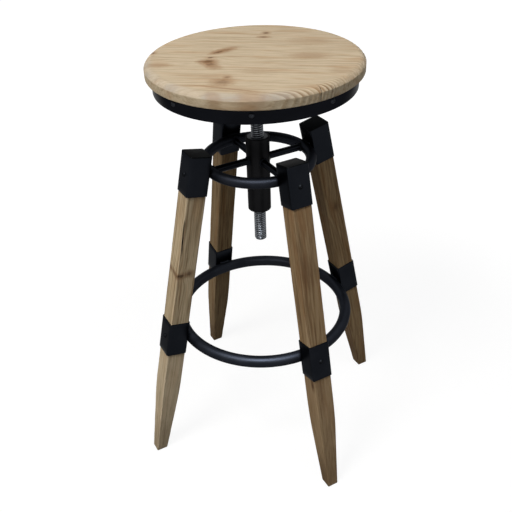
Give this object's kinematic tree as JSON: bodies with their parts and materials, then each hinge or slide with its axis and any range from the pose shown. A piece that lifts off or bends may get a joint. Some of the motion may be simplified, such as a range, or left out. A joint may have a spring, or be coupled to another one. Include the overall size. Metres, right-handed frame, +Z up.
{
  "type": "adjustable bar stool",
  "caption": "Bar stool with a round wooden seat in a steel hoop on a screw spindle, and splayed wooden legs held by steel caps, sleeves, an upper ring and a foot ring.",
  "frame": {"origin": "on the floor, under the middle of the seat", "axes": "+Z up along the spindle, legs on +X (right), +Y (back), -X (left) and -Y (front)"},
  "size_m": [0.5306, 0.5306, 0.78],
  "materials": {
    "seat_wood": "brushed pale pine, satin",
    "leg_wood": "stained pine, matt",
    "black_steel": "satin black powder coat",
    "black_screws": "satin black",
    "spindle_steel": "oiled dark steel",
    "zinc_steel": "zinc plated",
    "bush_plastic": "matt black",
    "buffer_rubber": "matt black rubber"
  },
  "bodies": {
    "frame": {"hub_tube": "black_steel", "lift_nut": "spindle_steel", "guide_bush": "bush_plastic", "upper_ring": "black_steel", "foot_ring": "black_steel", "cap_screws": "black_screws", "sleeve_screws": "black_screws", "leg_right": "leg_wood", "leg_back": "leg_wood", "leg_left": "leg_wood", "leg_front": "leg_wood", "cap_right": "black_steel", "cap_back": "black_steel", "cap_left": "black_steel", "cap_front": "black_steel", "cap_lid_right": "black_steel", "cap_lid_back": "black_steel", "cap_lid_left": "black_steel", "cap_lid_front": "black_steel", "sleeve_right": "black_steel", "sleeve_back": "black_steel", "sleeve_left": "black_steel", "sleeve_front": "black_steel", "spoke_right": "black_steel", "spoke_back": "black_steel", "spoke_left": "black_steel", "spoke_front": "black_steel"},
    "buffer": {"buffer_washer": "buffer_rubber"},
    "seat": {"seat_board": "seat_wood", "hoop": "black_steel", "hoop_screws": "black_screws", "cross_bar_long": "black_steel", "cross_bars_short": "black_steel", "spindle_flange": "black_steel", "flange_bolts": "zinc_steel", "threaded_inserts": "zinc_steel", "spindle": "spindle_steel"}
  },
  "joints": [
    {"name": "seat_height", "type": "slide", "parent": "frame", "child": "buffer", "axis": [0, 0, 1], "range_m": [-0.0817, 0.0661]},
    {"name": "seat_turn", "type": "hinge", "parent": "buffer", "child": "seat", "pos_m": [0, 0, 0.733], "axis": [0, 0, 1], "range_deg": [-7344, 5940]}
  ],
  "couplings": [
    {"joint": "seat_height", "follows": "seat_turn", "m_per_rad": 0.00063662}
  ]
}
